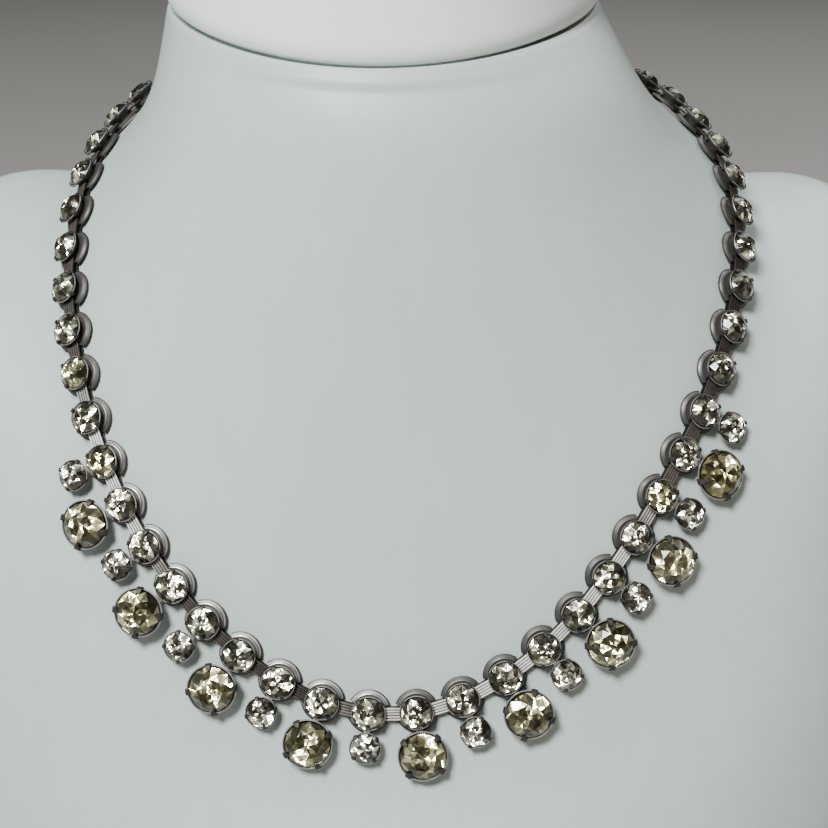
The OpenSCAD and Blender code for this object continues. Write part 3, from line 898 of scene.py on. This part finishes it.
def cut_glass(name, warm_stops=CHAMPAGNE):
    """Foil-backed glass: each facet shows painted reflection, light and dark, under a polished
    surface.
    """
    mat, nodes, links, bsdf = material(name)
    light, warm = channels(nodes, links, attribute(nodes, "tint").outputs["Color"])
    patch = nodes.new("ShaderNodeTexVoronoi")
    patch.feature = "SMOOTH_F1"
    patch.inputs["Scale"].default_value = PATCH_SCALE
    patch.inputs["Smoothness"].default_value = PATCH_SMOOTHNESS
    coord = nodes.new("ShaderNodeTexCoord")
    links.new(coord.outputs["Object"], patch.inputs["Vector"])
    cell, _ = channels(nodes, links, patch.outputs["Color"])
    lit = maths(nodes, links, "MULTIPLY_ADD", cell, PATCH_LIGHT, light)
    level = maths(nodes, links, "SUBTRACT", lit, PATCH_LIGHT / 2)
    clear = ramp(nodes, links, level, CLEAR)
    coloured = ramp(nodes, links, level, warm_stops)
    links.new(mixed(nodes, links, "MIX", warm, clear, coloured), bsdf.inputs["Base Color"])
    links.new(slanted(nodes, links, patch.outputs["Color"]), bsdf.inputs["Normal"])
    bsdf.inputs["Metallic"].default_value = 0.75
    bsdf.inputs["Roughness"].default_value = 0.18
    bsdf.inputs["Coat Weight"].default_value = 0.5
    bsdf.inputs["Coat Roughness"].default_value = 0.03
    bsdf.inputs["Coat IOR"].default_value = 1.54
    return mat


# The white covering's grain runs up and down.
GRAIN_SCALE, GRAIN_STRETCH = 260, (1, 1, 0.12)
GRAIN_DARK = 0.97
GRAIN_STRENGTH, GRAIN_DEPTH = 0.09, 0.2 * MM
SHEEN_SCALE = 90


def satin_white(name, white):
    """Smooth white covering with a faint drawn grain."""
    mat, nodes, links, bsdf = material(name)
    grain = noise(nodes, links, GRAIN_SCALE, 4, GRAIN_STRETCH)
    tones = [(0.35, tuple(GRAIN_DARK * v for v in white)), (0.65, white)]
    links.new(ramp(nodes, links, grain, tones), bsdf.inputs["Base Color"])
    roughness = [(0.3, grey(0.36)), (0.7, grey(0.46))]
    sheen = ramp(nodes, links, noise(nodes, links, SHEEN_SCALE, 3), roughness)
    links.new(sheen, bsdf.inputs["Roughness"])
    bump(nodes, links, bsdf, grain, GRAIN_STRENGTH, GRAIN_DEPTH)
    return mat


PLATE_STOPS = [
    (0.0, (0.95, 0.94, 0.92)), (0.25, (0.6, 0.58, 0.55)), (0.6, (0.17, 0.158, 0.145)),
    (1.0, (0.045, 0.041, 0.036)),
]
RIB_STOPS = [
    (0.0, (1.0, 0.99, 0.97)), (0.3, (0.62, 0.58, 0.54)), (0.6, (0.17, 0.145, 0.125)),
    (1.0, (0.035, 0.028, 0.023)),
]
MAT_LINK = silver("silver_plating", PLATE_STOPS, 0.3, 0.25, 0.55)
MAT_BAND = silver("silver_ribs", RIB_STOPS, 0.2, 0.4, 0.5)
MAT_STONE = cut_glass("clear_stone_glass")
MAT_CREAM = cut_glass("champagne_stone_glass")
MAT_AMBER = cut_glass("amber_stone_glass", AMBER)
MAT_BUST = satin_white("bust_covering", (0.52, 0.578, 0.556))
# The cap's white is painted far lighter than the body's, as painted light on the cap.
MAT_CAP_PAINTED_LIGHT = satin_white("cap_covering_painted_light", (0.92, 0.97, 0.93))


# The bust

SIDES = 192
BUST_SMOOTH = 40
# Runs of rows of the bust's mesh: the first and last row of the table, and the steps between
ROW_RUNS = [(0, 0.6, 18), (0.6, 6, 77), (6, 8, 20)]
# The covering's soft roll under the front of the seam: its height, its spread in degrees, and
# the row where it starts and over how much of a row it grows
ROLL_H, ROLL_SPREAD, ROLL_START, ROLL_GROWTH = 0.55, 34, 0.42, 0.2
# The rounded edge at the seam: how far inside the seam's ring each ring is, and how far above it
SEAM_EDGE = [
    (2.4, -0.4), (1.4, -0.6), (0.9, -0.45), (0.55, -0.2), (0.35, -0.1), (0.2, -0.14), (0.08, -0.3),
]
SEAM_FIRST_ROW = 0.05
TOP_SIZES, TOP_RISE = (0.05, 0.5, 0.94), 0.1
FOOT_SIZES = (0.5, 0.05)
SEAM_GAP = 0.15
CAP_H = 24
CAP_RINGS = 61
# The cap's side: how far each ring stands out from the seam's ring, and its height above it as a
# part of the cap's height
CAP_PROFILE = [
    (-4.5, 0), (-2.2, 0), (-0.7, 0.01), (0, 0.05), (0.3, 0.12), (0, 0.25), (-0.6, 0.5),
    (-0.8, 0.75), (-1.6, 0.9), (-3, 0.97), (-5.5, 1),
]
CAP_FLOOR_SIZES = (0.05, 0.5)
CAP_TOP_SIZES = (0.94, 0.8, 0.6, 0.4, 0.2, 0.05)
CROWN_RISE, CROWN_POWER = 1.2, 0.8


def bust_grid(rings, name, white, nodes_replaced):
    """A piece of the bust from its rings, the uppermost first."""
    shell = Shell()
    shell.add(np.vstack(rings), [f[::-1] for f in capped_tube(len(rings), SIDES)])
    shell.piece(name, white, nodes_replaced, BUST_SMOOTH)


def scaled_ring(rim, size, rise=0.0):
    """A ring drawn in towards its middle, and raised."""
    middle = rim.mean(0)
    return middle + (rim - middle) * size + np.array([0, 0, rise])


def rolled_ring(t, a):
    """A ring of the body, with the roll that the covering makes under the front of the seam."""
    t = np.full(len(a), float(t))
    front = np.exp(-((np.minimum(a, 360 - a) / ROLL_SPREAD) ** 2))
    grown = np.clip((ROLL_START - t) / ROLL_GROWTH, 0, 1)
    height = ROLL_H * front * grown ** 2 * (3 - 2 * grown)
    return bust_point(t, a) + height[:, None] * bust_normal(t, a)


def build_bust():
    """The body: its top under the cap, its rounded edge at the seam, its wall and its foot."""
    a = 360 * np.arange(SIDES) / SIDES
    rows = np.concatenate([np.linspace(start, end, n + 1)[1:] for start, end, n in ROW_RUNS])
    seam = rolled_ring(0, a)
    out = unit(seam - seam.mean(0)) * np.array([1, 1, 0])
    rings = [scaled_ring(seam, size, TOP_RISE) for size in TOP_SIZES]
    rings += [seam - out * inward + np.array([0, 0, rise]) for inward, rise in SEAM_EDGE]
    rings += [rolled_ring(t, a) for t in rows[rows > SEAM_FIRST_ROW]]
    base = rings[-1]
    rings += [scaled_ring(base, size) for size in FOOT_SIZES]
    bust_grid(rings, "bust_body", MAT_BUST, ["bust_form"])


def build_cap():
    """The padded cap: its underside, its side and its crown."""
    a = 360 * np.arange(SIDES) / SIDES
    seam = bust_point(np.zeros(SIDES), a)
    flat = polar(np.ones(SIDES), a, np.zeros(SIDES)) - np.array([0, AXIS_Y, 0])
    padded = padded_table(np.array(CAP_PROFILE))
    rings = [scaled_ring(seam, size, SEAM_GAP) for size in CAP_FLOOR_SIZES]
    for s in np.linspace(0, len(CAP_PROFILE) - 1, CAP_RINGS):
        i = min(int(s), len(CAP_PROFILE) - 2)
        out, up = smooth(padded[i], padded[i + 1], padded[i + 2], padded[i + 3], s - i)
        rings.append(seam + flat * out + np.array([0, 0, SEAM_GAP + up * CAP_H]))
    rim = rings[-1]
    for size in CAP_TOP_SIZES:
        rings.append(scaled_ring(rim, size, CROWN_RISE * (1 - size) ** CROWN_POWER))
    bust_grid(rings[::-1], "bust_padded_cap", MAT_CAP_PAINTED_LIGHT, ["bust_cap"])


# The necklace

# Names of the chain's stretches, with the first and the last station of each
SIDE_RUNS = [("left", 1 - HALF, -SIDE_START), ("right", SIDE_START, HALF - 1)]
BAND_RUNS = [
    ("left", -HALF, -SIDE_START - 1), ("front", -SIDE_START, DROP_LINKS),
    ("right", SIDE_START, HALF - 1),
]
STONE_RUNS = [SIDE_RUNS[0], ("front", -DROP_LINKS, DROP_LINKS), SIDE_RUNS[1]]


def build_chain():
    """The metal of the front links, of the side links and of the bands."""
    plate, plain_cup = plate_template(), cups_template()
    large_cups = cups_template((LARGE_R, LARGE_REACH, LARGE_FOOT))
    small_cups = cups_template((SMALL_R, SMALL_REACH, SMALL_FOOT))
    for n, k in enumerate(range(-DROP_LINKS, DROP_LINKS + 1), 1):
        shell = Shell()
        add_plate(shell, plate, k)
        shell.join(small_cups if k % 2 else large_cups, place(k))
        shell.piece(f"link_{n:02d}_metal", MAT_LINK, [f"link_{n:02d}"], PLATE_SMOOTH)
    for side, first, last in SIDE_RUNS:
        shell = Shell()
        for k in range(first, last + 1):
            add_plate(shell, plate, k)
            shell.join(plain_cup, place(k))
        name = f"side_links_{side}"
        shell.piece(f"{name}_metal", MAT_LINK, [name], PLATE_SMOOTH)
    for side, first, last in BAND_RUNS:
        shell = Shell()
        for k in range(first, last + 1):
            band(shell, k)
        name = f"bands_{side}"
        shell.piece(f"{name}_ribbed", MAT_BAND, [name], BAND_SMOOTH)


# How warm the stones of each kind are, from clear at 0 to champagne at 1
LINK_WARM, OLIVE_WARM, LARGE_WARM, SMALL_WARM = 0.25, 0.9, 0.85, 0.1
OLIVE_LINKS = (-11, -9, 7)
AMBER_DROP = 8
# How much painted shade darkens them below the mean. The link stones are painted lightest at the
# left of the front and darkest beside the neck.
LINK_DIM = [(-10, 0.11), (-9, -0.06), (-1, -0.06), (1, 0.03), (9, 0.03), (10, 0.15)]
OLIVE_DIM, SMALL_DIM = -0.02, -0.05
LINK_SEED, LARGE_SEED, SMALL_SEED = 11, 100, 200


def build_stones():
    """The stones on the links, then the large and the small stones of the drops."""
    for seed, (side, first, last) in enumerate(STONE_RUNS, LINK_SEED):
        rng = np.random.default_rng(seed)
        shell = Shell()
        for k in range(first, last + 1):
            warm, dim = LINK_WARM, float(from_curve(k, LINK_DIM))
            if k in OLIVE_LINKS:
                warm, dim = OLIVE_WARM, OLIVE_DIM
            stone(shell, LINK_R, LINK_FOOT, 0, warm, rng, k, dim)
        shell.piece(f"link_stones_{side}_cut", MAT_STONE, [f"link_stones_{side}"])
    for n, k in enumerate(range(1 - DROP_LINKS, DROP_LINKS, 2), 1):
        rng = np.random.default_rng(LARGE_SEED + n)
        shell = Shell()
        stone(shell, LARGE_R, LARGE_FOOT, -LARGE_REACH, LARGE_WARM, rng, k)
        glass = MAT_AMBER if k == AMBER_DROP else MAT_CREAM
        shell.piece(f"large_stone_{n}_cut", glass, [f"large_stone_{n}"])
    for n, k in enumerate(range(-DROP_LINKS, DROP_LINKS + 1, 2), 1):
        rng = np.random.default_rng(SMALL_SEED + n)
        shell = Shell()
        stone(shell, SMALL_R, SMALL_FOOT, -SMALL_REACH, SMALL_WARM, rng, k, SMALL_DIM)
        shell.piece(f"small_stone_{n:02d}_cut", MAT_STONE, [f"small_stone_{n:02d}"])


CLASP_HALF_W = 2.3
STRIP_EDGE, STRIP_TONE = 0.05, 0.3
BOX_HALF_L, BOX_TOP, BOX_SUNK = 1.7, 1.25, 0.05
BOX_EDGE, BOX_TONE = 0.25, 0.15
CLASP_SMOOTH = 40


def build_clasp():
    """A plain box on a strip that has the bars of a plate."""
    low, high = (-BAR_OUT, -CLASP_HALF_W, DECK_UNDER), (BAR_OUT, CLASP_HALF_W, DECK_H)
    slots = [cut_box(end, SLOT_IN, BAR_IN, SLOT_W) for end in (-1, 1)]
    part = Shell()
    part.add(*carved(*box_mesh(low, high), slots, STRIP_EDGE), grey(STRIP_TONE))
    low = (-BOX_HALF_L, -CLASP_HALF_W, DECK_H - BOX_SUNK)
    high = (BOX_HALF_L, CLASP_HALF_W, DECK_H + BOX_TOP)
    part.add(*carved(*box_mesh(low, high), [], BOX_EDGE), grey(BOX_TONE))
    shell = Shell()
    shell.join(part, place(-HALF))
    shell.piece("clasp_box", MAT_LINK, ["clasp"], CLASP_SMOOTH)


build_bust()
build_cap()
build_chain()
build_stones()
build_clasp()


# Floor, light and camera

FLOOR_HALF = 6
FLOOR_SCALE, FLOOR_ROUGHNESS = 3, 0.7
FLOOR_STOPS = [(0.3, (0.37, 0.355, 0.335)), (0.7, (0.40, 0.382, 0.36))]
# Each light's name, place, size, power and colour. All of them face the chest.
CHEST = (0, -0.03, 0.12)
LIGHTS = [
    ("key", (-0.29, -0.62, 0.87), 0.26, 19.8, (0.94, 0.985, 1.0)),
    ("fill", (0.6, -0.75, 0.02), 0.5, 1.0, (1.0, 0.82, 0.62)),
    ("left", (-1.0, -0.1, 0.5), 0.7, 1.0, (0.93, 0.98, 1.0)),
    ("top", (0.1, -0.1, 1.15), 0.5, 0.7, (1, 1, 1)),
    ("back", (0.5, 0.55, 0.85), 0.7, 4.5, (1, 1, 1)),
]
WORLD_COLOUR, WORLD_STRENGTH = (0.9, 0.8, 0.66, 1), 0.05
# The camera of the photograph, as the fit gives it
CAMERA_AT = (0.00594, -0.27037, 0.22649)
CAMERA_PITCH, CAMERA_YAW = 0.42025, -0.01267
SENSOR, LENS = 36, 71.3


def floor_piece():
    """A pale floor under the bust, which is no part of it."""
    mat, nodes, links, bsdf = material("studio_floor")
    colour = ramp(nodes, links, noise(nodes, links, FLOOR_SCALE, 2), FLOOR_STOPS)
    links.new(colour, bsdf.inputs["Base Color"])
    bsdf.inputs["Roughness"].default_value = FLOOR_ROUGHNESS
    mesh = bpy.data.meshes.new("floor")
    h = FLOOR_HALF
    mesh.from_pydata([(-h, -h, 0), (h, -h, 0), (h, h, 0), (-h, h, 0)], [], [(0, 1, 2, 3)])
    mesh.materials.append(mat)
    floor = bpy.data.objects.new("floor", mesh)
    bpy.context.scene.collection.objects.link(floor)


def facing_to(direction):
    """The turn of a light or camera that looks along the direction."""
    return Vector(direction).to_track_quat("-Z", "Y").to_euler()


def studio():
    """A faint light from all round, and soft lights."""
    world = bpy.data.worlds.new("studio")
    world.use_nodes = True
    background = world.node_tree.nodes["Background"]
    background.inputs["Color"].default_value = WORLD_COLOUR
    background.inputs["Strength"].default_value = WORLD_STRENGTH
    bpy.context.scene.world = world
    for name, at, size, energy, colour in LIGHTS:
        data = bpy.data.lights.new(name, "AREA")
        data.shape, data.size, data.energy, data.color = "SQUARE", size, energy, colour
        obj = bpy.data.objects.new(name, data)
        obj.location = at
        obj.rotation_euler = facing_to(Vector(CHEST) - Vector(at))
        bpy.context.scene.collection.objects.link(obj)


def camera():
    """The camera, where it stood for the photograph."""
    data = bpy.data.cameras.new("camera")
    data.sensor_width, data.lens = SENSOR, LENS
    data.clip_start, data.clip_end = 0.01, 20
    obj = bpy.data.objects.new("camera", data)
    obj.location = CAMERA_AT
    level = math.cos(CAMERA_PITCH)
    obj.rotation_euler = facing_to((
        math.sin(CAMERA_YAW) * level, math.cos(CAMERA_YAW) * level, -math.sin(CAMERA_PITCH)))
    bpy.context.scene.collection.objects.link(obj)
    bpy.context.scene.camera = obj


floor_piece()
studio()
camera()
